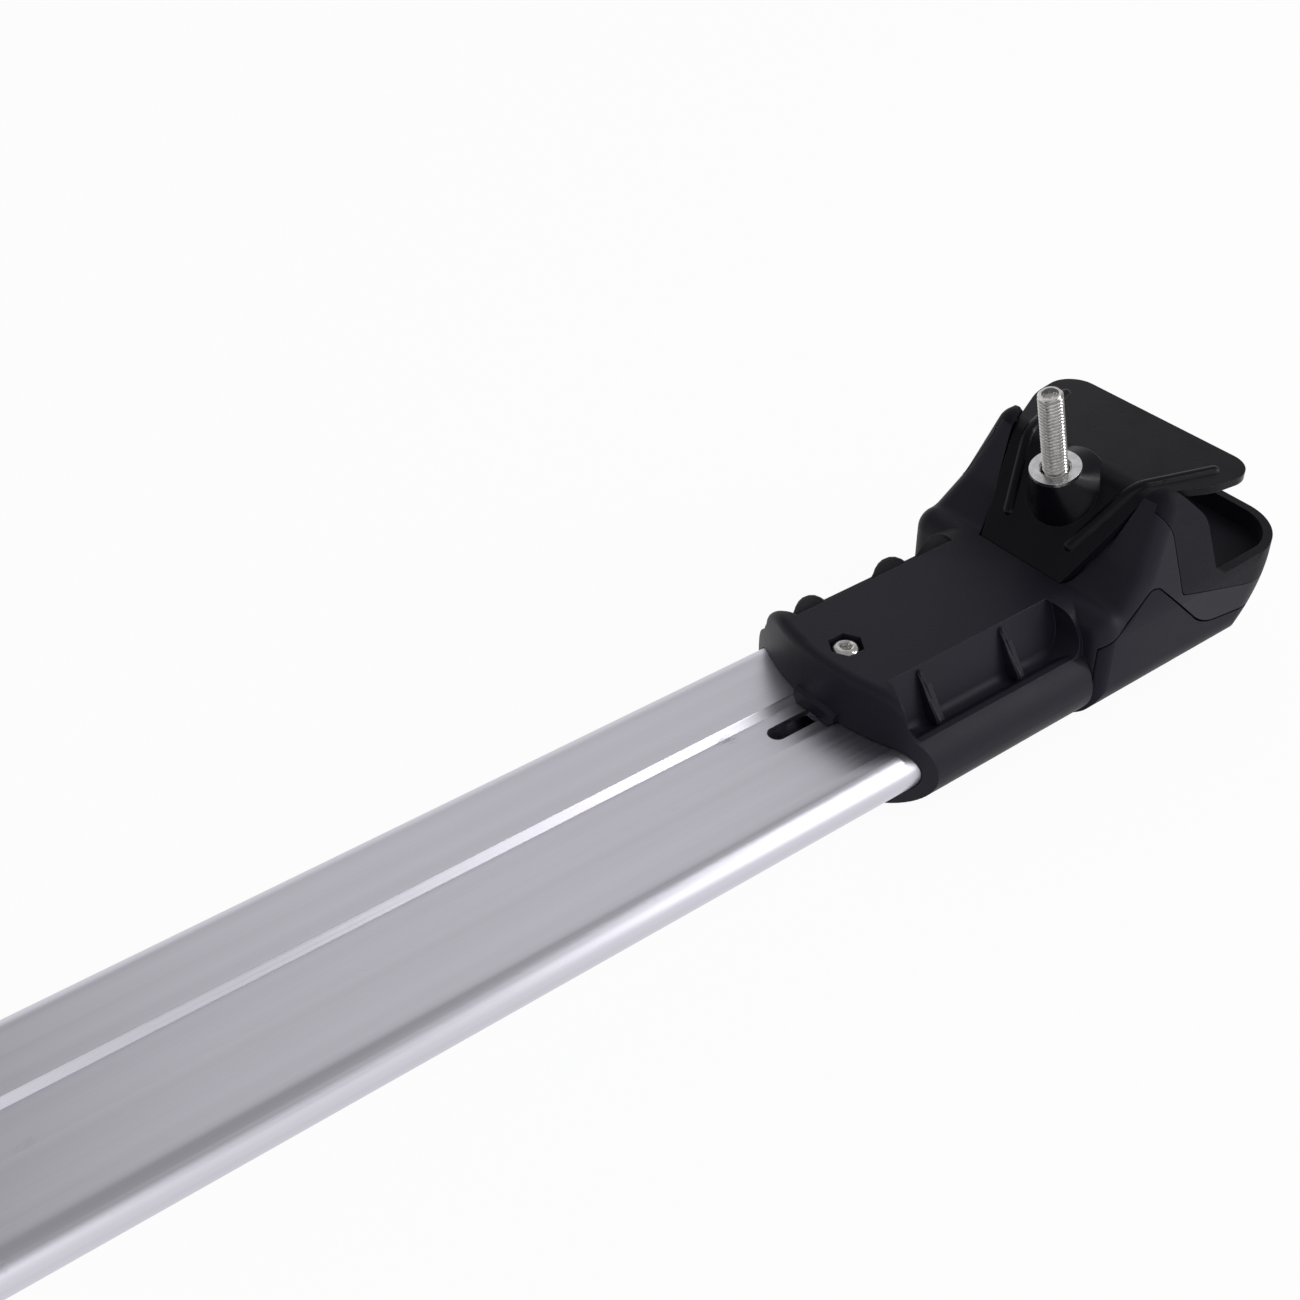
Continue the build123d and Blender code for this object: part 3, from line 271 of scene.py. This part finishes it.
def anodised():
    """Satin anodised aluminium: fine lines along the bar, faint clouding, a few scuffs and a
    painted highlight along sharp edges.
    """
    finish = Finish("bar_anodised", Metallic=1.0)
    dark, light = (0.575, 0.565, 0.62), (0.655, 0.645, 0.71)
    scuffed, edge_highlight_colour = (0.31, 0.305, 0.325), (0.80, 0.79, 0.83)
    edge = finish.edges(width=0.25 * MM)
    lines = finish.noise(scale=1.0, detail=3.0, stretch=(3.0, 1500.0, 1500.0), roughness=0.6)
    bands = finish.noise(scale=1.0, detail=2.0, stretch=(0.8, 190.0, 190.0))
    frost = finish.noise(scale=3200.0, detail=1.0)
    finish.relief(frost, depth=0.004 * MM)
    finish.relief(lines, depth=0.006 * MM)
    cloud = finish.noise(scale=9.0, detail=3.0)
    line_share = 0.4
    cloud_share = 0.25
    banded = finish.math("MULTIPLY", bands, 1 - line_share)
    tone = finish.math("ADD", banded, finish.math("MULTIPLY", lines, line_share))
    clouded = finish.math("MULTIPLY", cloud, cloud_share)
    tone = finish.math("ADD", clouded, finish.math("MULTIPLY", tone, 1 - cloud_share))
    tone = finish.spread(tone, low=0.35, high=0.65, to_low=0.0, to_high=1.0)
    base = finish.blend(tone, dark, light)
    places = finish.noise(scale=75.0, detail=1.0, stretch=(0.6, 1.0, 1.0))
    spot = finish.spread(places, low=0.735, high=0.78, to_low=0.0, to_high=1.0)
    scratches = finish.noise(scale=900.0, detail=3.0, stretch=(0.5, 1.0, 1.0))
    ragged = finish.spread(scratches, low=0.42, high=0.6, to_low=0.0, to_high=1.0)
    scuff_strength = 0.45
    scuff = finish.math("MULTIPLY", finish.math("MULTIPLY", spot, ragged), scuff_strength)
    base = finish.blend(scuff, base, scuffed)
    # Painted highlight: sharp edges blended towards a near-white colour.
    edge_highlight_strength = 0.6
    base = finish.blend(finish.math("MULTIPLY", edge, edge_highlight_strength), base, edge_highlight_colour)
    scuff_dulling = 0.8
    dulled = finish.math("ADD", lines, finish.math("MULTIPLY", scuff, scuff_dulling))
    gloss = finish.spread(dulled, low=0.3, high=0.8, to_low=0.31, to_high=0.42)
    return finish.done(base, gloss)


PLASTIC_GRAIN = 1900.0
housing_plastic = moulded(
    "housing_plastic", colour=(0.0112, 0.0104, 0.0165), edge_wear_and_highlight=(0.034, 0.032, 0.042), rough=0.48,
    grain=PLASTIC_GRAIN, depth=0.022 * MM, specular=0.16,
)
# Painted shade: a less glossy, slightly darker copy of the housing plastic, turned down because the
# key lamp falls on the cover.
shaded_cover_plastic = moulded(
    "shaded_cover_plastic", colour=(0.0100, 0.0092, 0.0155), edge_wear_and_highlight=(0.032, 0.030, 0.040), rough=0.50,
    grain=PLASTIC_GRAIN, depth=0.020 * MM, specular=0.09,
)
pad_rubber = rubber("pad_rubber", colour=(0.0050, 0.0045, 0.0088), rough=0.58)
strip_rubber = rubber("strip_rubber", colour=(0.0100, 0.0100, 0.0105), rough=0.72)
plate_paint = painted_steel()
bar_metal = anodised()
zinc = plated(
    "zinc_plate", colour=(0.66, 0.655, 0.66), dull=(0.50, 0.50, 0.515), rough=0.24, scale=320.0,
)
stainless = plated(
    "stainless", colour=(0.74, 0.725, 0.715), dull=(0.56, 0.55, 0.545), rough=0.20, scale=420.0,
)
thread_steel = plated(
    "thread_steel", colour=(0.70, 0.685, 0.675), dull=(0.50, 0.49, 0.485), rough=0.16, scale=900.0,
    rounding=0,
)
lock_metal = plated(
    "lock_nickel", colour=(0.78, 0.77, 0.74), dull=(0.60, 0.595, 0.58), rough=0.22, scale=500.0,
)

FINISH_OF = {
    "bar_profile": bar_metal,
    "slot_strip": strip_rubber,
    "foot_housing": housing_plastic,
    "lock_cover": shaded_cover_plastic,
    "mouth_pad": pad_rubber,
    "cover_hinge_pin": zinc,
    "lock_barrel": lock_metal,
    "lock_plug": lock_metal,
    "lock_cam": zinc,
    "clamp_plate": plate_paint,
    "clamp_nut": zinc,
    "clamp_bolt": stainless,
    "thrust_washer": zinc,
    "foot_screw": stainless,
    "slide_nut": zinc,
}
for name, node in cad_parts.items():
    finish = FINISH_OF[name.removeprefix("right_").removeprefix("left_")]
    if not node.material_slots:
        node.data.materials.append(finish)
    for place in node.material_slots:
        place.material = finish


# ---- pieces

MERGE_DISTANCE = 1e-7
SHARP_ANGLE = radians(32)


def piece(name, made, material, body):
    """Turns the bmesh made into a piece named name, in that material, that rides on body."""
    bmesh.ops.remove_doubles(made, verts=made.verts, dist=MERGE_DISTANCE)
    bmesh.ops.recalc_face_normals(made, faces=made.faces)
    mesh = bpy.data.meshes.new(name)
    made.to_mesh(mesh)
    made.free()
    mesh.materials.append(material)
    mesh.shade_smooth()
    mesh.set_sharp_from_angle(angle=SHARP_ANGLE)
    shown = bpy.data.objects.new(name, mesh)
    scene.collection.objects.link(shown)
    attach(shown, body)
    return shown


# Points round a turned piece
TURNS = 48


def mirrored(side, place):
    """A place or direction of the right foot, for that side."""
    return Vector((side * place[0], place[1], place[2]))


# Clamp bolt: the nut's seat in m, and radii and heights along the axis from that seat in mm
TILT = radians(15)
SEAT = (0.5252, 0, 0.0743)
SHANK = 3.9
ROOT = 3.24
PITCH = 1.25
THREAD_LOW = -34.0
FREE_END = 29.0
HEAD_SEAT = -61.0
HEAD_END = -69.0
HEAD_RADIUS = 6.5
SOCKET_FLAT = 3.0
KNURL_SHARE = 0.984  # of the head's radius, in the grooves
# One turn of the thread, as (share of the pitch, radius)
THREAD_STATIONS = ((0.0, ROOT), (0.18, ROOT), (0.52, SHANK), (0.64, SHANK))
# Turns made beyond each end and pressed flat onto it, turns over which the thread runs out,
# and how steeply the free end is chamfered
SPARE_TURNS = 2
RUNOUT_TURNS = 1.5
END_SLOPE = 0.9


def hexagon(turn):
    """Radius of a hexagon of unit half width at that turn."""
    return 1 / cos((turn + pi / 6) % (pi / 3) - pi / 6)


def clamp_bolt(side):
    """Socket head bolt with a helical thread and a hollow free end, tilted as the CAD bolt is."""
    axis = mirrored(side, (-sin(TILT), 0, cos(TILT)))
    across = mirrored(side, (cos(TILT), 0, sin(TILT)))
    third = axis.cross(across)
    seat = mirrored(side, SEAT)
    made = bmesh.new()

    def vertex(height, radius, turn):
        outward = across * cos(turn) + third * sin(turn)
        return made.verts.new(seat + MM * (axis * height + outward * radius))

    def ring(height, radius, shape=lambda turn: 1.0):
        turns = [tau * k / TURNS for k in range(TURNS)]
        return [vertex(height, radius * shape(turn), turn) for turn in turns]

    def strip(low, high):
        for k in range(TURNS):
            nearby = (k + 1) % TURNS
            made.faces.new((low[k], low[nearby], high[nearby], high[k]))

    per_turn = len(THREAD_STATIONS)
    count = per_turn * (int((FREE_END - THREAD_LOW) / PITCH) + 2 * SPARE_TURNS)
    rows = []
    for row in range(count):
        share, radius = THREAD_STATIONS[row % per_turn]
        line = []
        for k in range(TURNS):
            height = THREAD_LOW + PITCH * (row // per_turn - SPARE_TURNS + share + k / TURNS)
            height = min(max(height, THREAD_LOW), FREE_END)
            runout = min(1.0, (height - THREAD_LOW) / (RUNOUT_TURNS * PITCH))
            threaded = SHANK + (radius - SHANK) * runout
            chamfered = ROOT + (FREE_END - height) * END_SLOPE
            line.append(vertex(height, min(threaded, chamfered), tau * k / TURNS))
        rows.append(line)
    for row in range(count - 1):
        low, high = rows[row], rows[row + 1]
        for k in range(TURNS - 1):
            made.faces.new((low[k], low[k + 1], high[k + 1], high[k]))
        # the last point of a turn meets the first of the next one
        if row + per_turn + 1 < count:
            next_low, next_high = rows[row + per_turn], rows[row + per_turn + 1]
            made.faces.new((low[-1], next_low[0], next_high[0], high[-1]))

    end = [
        ring(FREE_END, ROOT),
        ring(FREE_END, 2.55),
        ring(FREE_END - 1.9, 2.25),
        ring(FREE_END - 2.6, 0.5),
    ]
    for low, high in zip(end, end[1:]):
        strip(low, high)
    made.faces.new(end[-1])

    def knurl(turn):
        return 1.0 if round(turn * TURNS / tau) % 2 else KNURL_SHARE

    back = [
        ring(THREAD_LOW, SHANK),
        ring(HEAD_SEAT + 0.5, SHANK),
        ring(HEAD_SEAT, SHANK + 0.4),
        ring(HEAD_SEAT, HEAD_RADIUS - 0.25),
        ring(HEAD_SEAT - 0.3, HEAD_RADIUS),
        ring(HEAD_SEAT - 0.9, HEAD_RADIUS),
        ring(HEAD_SEAT - 1.1, HEAD_RADIUS, knurl),
        ring(HEAD_END + 1.1, HEAD_RADIUS, knurl),
        ring(HEAD_END + 0.9, HEAD_RADIUS),
        ring(HEAD_END + 0.5, HEAD_RADIUS),
        ring(HEAD_END, HEAD_RADIUS - 0.5),
        ring(HEAD_END, SOCKET_FLAT * 1.24),
        ring(HEAD_END + 0.35, SOCKET_FLAT, hexagon),
        ring(HEAD_END + 3.9, SOCKET_FLAT, hexagon),
        ring(HEAD_END + 4.0, SOCKET_FLAT * 0.9),
        ring(HEAD_END + 4.8, 0.4),
    ]
    for low, high in zip(back, back[1:]):
        strip(low, high)
    made.faces.new(back[-1])
    return made


# Seam on the far shoulder: its centre in m and two directions, then its outline and section in mm
SEAM_CENTRE = (0.5335, 0.0352, 0.0602)
SEAM_OUT = (-0.62, 0.75, 0.22)
SEAM_ALONG = (7.0, -6.0, 21.0)
SEAM_HALF_LONG = 10.0
SEAM_HALF_SHORT = 2.9
SEAM_CORNER = 2.4
SEAM_HALF_WIDTH = 0.30
SEAM_HEIGHT = 0.12
SEAM_SECTION = 8
# Where a ray onto the housing starts and how far it goes, in m
RAY_START = 0.014
RAY_REACH = 0.03


def rounded_loop(half_long, half_short, corner, steps=7):
    """Corner-rounded rectangle as points (along, across)."""
    points = []
    for quarter, (a, b) in enumerate(((1, 1), (-1, 1), (-1, -1), (1, -1))):
        for step in range(steps):
            turn = pi / 2 * (quarter + step / (steps - 1))
            along = a * (half_long - corner) + corner * cos(turn)
            across = b * (half_short - corner) + corner * sin(turn)
            points.append((along, across))
    return points


def seam_ring(side, housing):
    """Fine raised line round the far shoulder's inset panel, laid on the housing's surface, to be
    drawn dark as painted shade of the panel's groove.
    """
    corners = [vertex.co for vertex in housing.data.vertices]
    surface = BVHTree.FromPolygons(corners, [face.vertices for face in housing.data.polygons])
    centre = mirrored(side, SEAM_CENTRE)
    out = mirrored(side, SEAM_OUT).normalized()
    along = mirrored(side, SEAM_ALONG)
    along = (along - out * along.dot(out)).normalized()
    across = out.cross(along)
    hits = []
    for a, b in rounded_loop(SEAM_HALF_LONG, SEAM_HALF_SHORT, SEAM_CORNER):
        start = centre + out * RAY_START + (along * a + across * b) * MM
        place, facing, _, _ = surface.ray_cast(start, -out, RAY_REACH)
        if place is not None:
            hits.append((place, facing))
    made = bmesh.new()
    loops = []
    for k, (place, facing) in enumerate(hits):
        direction = (hits[(k + 1) % len(hits)][0] - hits[k - 1][0]).normalized()
        sideways = direction.cross(facing).normalized()
        loop = []
        for j in range(SEAM_SECTION):
            turn = tau * j / SEAM_SECTION
            offset = sideways * cos(turn) * SEAM_HALF_WIDTH + facing * sin(turn) * SEAM_HEIGHT
            loop.append(made.verts.new(place + offset * MM))
        loops.append(loop)
    for k, low in enumerate(loops):
        high = loops[(k + 1) % len(loops)]
        for j in range(SEAM_SECTION):
            nearby = (j + 1) % SEAM_SECTION
            made.faces.new((low[j], low[nearby], high[nearby], high[j]))
    return made


# Ribs of the side pockets, in mm: places along the bar, and outlines as (distance from the bar's
# centre line, height above BAR_UNDERSIDE)
BAR_UNDERSIDE = 26.5
RIB_PLACES = (451.4, 484.8)
RIB_THICK = 1.7
RIB_ROUNDING = 0.5
RIB_ROUNDING_STEPS = 3
SLANTED_RIB = (
    (18.0, 17.4), (21.6, 17.4), (23.4, 13.8), (26.6, 10.0), (31.2, 5.4), (31.6, 3.0), (18.0, 3.0),
)
FULL_RIB = (
    (16.0, 18.4), (22.4, 18.4), (25.2, 17.7), (27.8, 16.2), (30.0, 14.2),
    (31.7, 11.8), (33.0, 8.9), (33.7, 5.6), (33.9, 3.2), (16.0, 3.2),
)


def rib(side, along, outline, facing):
    """Thin web across a side pocket, with softened rims; facing is the pocket's side, 1 or -1."""
    made = bmesh.new()
    rings = []
    for half in (-0.5, 0.5):
        x = side * (along + half * RIB_THICK)
        rings.append([
            made.verts.new(Vector((x, facing * out, BAR_UNDERSIDE + up)) * MM)
            for out, up in outline
        ])
    count = len(outline)
    for k in range(count):
        nearby = (k + 1) % count
        made.faces.new((rings[0][k], rings[0][nearby], rings[1][nearby], rings[1][k]))
    made.faces.new(rings[0])
    made.faces.new(rings[1])
    same_x = 1e-6
    rims = [edge for edge in made.edges if abs(edge.verts[0].co.x - edge.verts[1].co.x) < same_x]
    bmesh.ops.bevel(
        made, geom=rims, offset=RIB_ROUNDING * MM, segments=RIB_ROUNDING_STEPS, affect="EDGES",
        clamp_overlap=True,
    )
    return made


# Foot screw, in mm: a button head with a hexagon socket
SCREW_PLACE = 442.0
SCREW_SHANK = 2.45
SCREW_HEAD = 4.49
SCREW_SOCKET_FLAT = 1.75


def foot_screw(side, low, high):
    """Button head screw between the heights low and high, on the axis of the CAD screw."""
    made = bmesh.new()
    # radius, height, and whether the radius is a hexagon's
    profile = [
        (SCREW_SHANK, low, False),
        (SCREW_SHANK, high - 3.2, False),
        (4.2, high - 3.2, False),
        (SCREW_HEAD, high - 2.9, False),
        (SCREW_HEAD, high - 2.0, False),
        (4.2, high - 1.1, False),
        (3.55, high - 0.45, False),
        (2.8, high - 0.1, False),
        (2.4, high, False),
        (SCREW_SOCKET_FLAT, high - 0.25, True),
        (SCREW_SOCKET_FLAT, high - 2.2, True),
        (0.5, high - 2.6, False),
    ]
    rings = []
    for radius, height, hexed in profile:
        line = []
        for k in range(TURNS):
            turn = tau * k / TURNS
            reach = radius * (hexagon(turn) if hexed else 1.0)
            x = side * SCREW_PLACE + reach * cos(turn)
            line.append(made.verts.new(Vector((x, reach * sin(turn), height)) * MM))
        rings.append(line)
    for below, above in zip(rings, rings[1:]):
        for k in range(TURNS):
            nearby = (k + 1) % TURNS
            made.faces.new((below[k], below[nearby], above[nearby], above[k]))
    made.faces.new(rings[0])
    made.faces.new(rings[-1])
    return made


for side, word in ((1, "right"), (-1, "left")):
    foot = word + "_foot"
    screw_low, screw_high = (corner.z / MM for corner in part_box(word + "_foot_screw"))
    screw_mesh = foot_screw(side, screw_low, screw_high)
    screw = piece(word + "_button_screw", screw_mesh, stainless, foot)
    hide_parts(word + "_foot_screw")
    for number, along in enumerate(RIB_PLACES, 1):
        for facing, outline, kind in ((-1, SLANTED_RIB, "slanted"), (1, FULL_RIB, "full")):
            name = "_".join((word, kind, "rib", str(number)))
            piece(name, rib(side, along, outline, facing), housing_plastic, foot)
    bolt = piece(word + "_threaded_bolt", clamp_bolt(side), thread_steel, word + "_bolt")
    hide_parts(word + "_clamp_bolt")
    seam_mesh = seam_ring(side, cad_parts[word + "_foot_housing"])
    # Painted shade: the seam line takes the darker pad rubber so that it reads as a groove's shade.
    piece(word + "_shoulder_seam_shade", seam_mesh, pad_rubber, foot)


# ---- floor, lamps and world

def camera_share(tree, most):
    """most for rays seen directly, in gloss or through glass, 0 for light onto the object."""
    rays = tree.nodes.new("ShaderNodeLightPath")
    share = rays.outputs["Is Camera Ray"]
    for kind in ("Is Glossy Ray", "Is Transmission Ray"):
        larger = tree.nodes.new("ShaderNodeMath")
        larger.operation = "MAXIMUM"
        tree.links.new(share, larger.inputs[0])
        tree.links.new(rays.outputs[kind], larger.inputs[1])
        share = larger.outputs["Value"]
    scaled = tree.nodes.new("ShaderNodeMath")
    scaled.operation = "MULTIPLY"
    scaled.inputs[1].default_value = most
    tree.links.new(share, scaled.inputs[0])
    return scaled.outputs["Value"]


FLOOR_REACH = 40.0
FLOOR_GAP = 0.0001
FLOOR_GLOW_SHARE = 0.95

floor_corners = [
    (a * FLOOR_REACH, b * FLOOR_REACH, 0) for a, b in ((-1, -1), (1, -1), (1, 1), (-1, 1))
]
floor_mesh = bpy.data.meshes.new("floor")
floor_mesh.from_pydata(floor_corners, [], [(0, 1, 2, 3)])
floor = bpy.data.objects.new("floor", floor_mesh)
floor.location.z = cad_box[0].z - FLOOR_GAP
scene.collection.objects.link(floor)
floor_finish = bpy.data.materials.new("floor_white")
floor_finish.use_nodes = True
tree = floor_finish.node_tree
tree.nodes.remove(tree.nodes["Principled BSDF"])
diffuse = tree.nodes.new("ShaderNodeBsdfDiffuse")
diffuse.inputs["Color"].default_value = (0.86, 0.86, 0.87, 1.0)
glow = tree.nodes.new("ShaderNodeEmission")
glow.inputs["Color"].default_value = (1.0, 1.0, 1.0, 1.0)
glow.inputs["Strength"].default_value = 1.0
mixed = tree.nodes.new("ShaderNodeMixShader")
tree.links.new(camera_share(tree, FLOOR_GLOW_SHARE), mixed.inputs["Fac"])
tree.links.new(diffuse.outputs["BSDF"], mixed.inputs[1])
tree.links.new(glow.outputs["Emission"], mixed.inputs[2])
tree.links.new(mixed.outputs["Shader"], tree.nodes["Material Output"].inputs["Surface"])
floor_mesh.materials.append(floor_finish)

# What is seen of the world: white up to WALL_TOP, then darker up to CEILING_START and above it,
# both as the sine of the height above the horizon
WALL_TOP = 0.16
CEILING_START = 0.50
CEILING = 0.36
WORLD_LIGHT = 0.42

world = bpy.data.worlds.new("world")
scene.world = world
world.use_nodes = True
tree = world.node_tree
light = tree.nodes["Background"]
light.inputs["Color"].default_value = (0.97, 0.98, 1.0, 1.0)
light.inputs["Strength"].default_value = WORLD_LIGHT
seen = tree.nodes.new("ShaderNodeBackground")
seen.inputs["Color"].default_value = (1.0, 1.0, 1.0, 1.0)
towards = tree.nodes.new("ShaderNodeTexCoord")
height = tree.nodes.new("ShaderNodeSeparateXYZ")
tree.links.new(towards.outputs["Generated"], height.inputs["Vector"])
fade = tree.nodes.new("ShaderNodeMapRange")
fade.interpolation_type = "SMOOTHSTEP"
for socket, value in zip(RANGE_SOCKETS, (WALL_TOP, CEILING_START, 1.0, CEILING)):
    fade.inputs[socket].default_value = value
tree.links.new(height.outputs["Z"], fade.inputs["Value"])
tree.links.new(fade.outputs["Result"], seen.inputs["Strength"])
mixed = tree.nodes.new("ShaderNodeMixShader")
tree.links.new(camera_share(tree, 1.0), mixed.inputs["Fac"])
tree.links.new(light.outputs["Background"], mixed.inputs[1])
tree.links.new(seen.outputs["Background"], mixed.inputs[2])
tree.links.new(mixed.outputs["Shader"], tree.nodes["World Output"].inputs["Surface"])


def lamp(name, place, target, width, height, power):
    """Soft rectangular lamp of width by height in m and power in W, from place towards target."""
    data = bpy.data.lights.new(name, "AREA")
    data.shape = "RECTANGLE"
    data.size = width
    data.size_y = height
    data.energy = power
    shown = bpy.data.objects.new(name, data)
    shown.location = place
    shown.rotation_mode = "QUATERNION"
    shown.rotation_quaternion = (Vector(target) - Vector(place)).to_track_quat("-Z", "Y")
    scene.collection.objects.link(shown)


lamp("key", place=(1.55, -1.15, 0.75), target=(0.45, 0, 0.04), width=1.3, height=1.0, power=8.5)
lamp("side", place=(-0.35, -1.60, 0.85), target=(0.2, 0, 0.03), width=1.6, height=0.8, power=4.0)
lamp("top", place=(1.00, 1.05, 1.45), target=(0.4, 0, 0.03), width=1.5, height=1.5, power=3.0)
lamp(
    "strip_right", place=(1.45, -0.75, 0.95), target=(0.5, 0, 0.06),
    width=0.10, height=1.1, power=5.0,
)
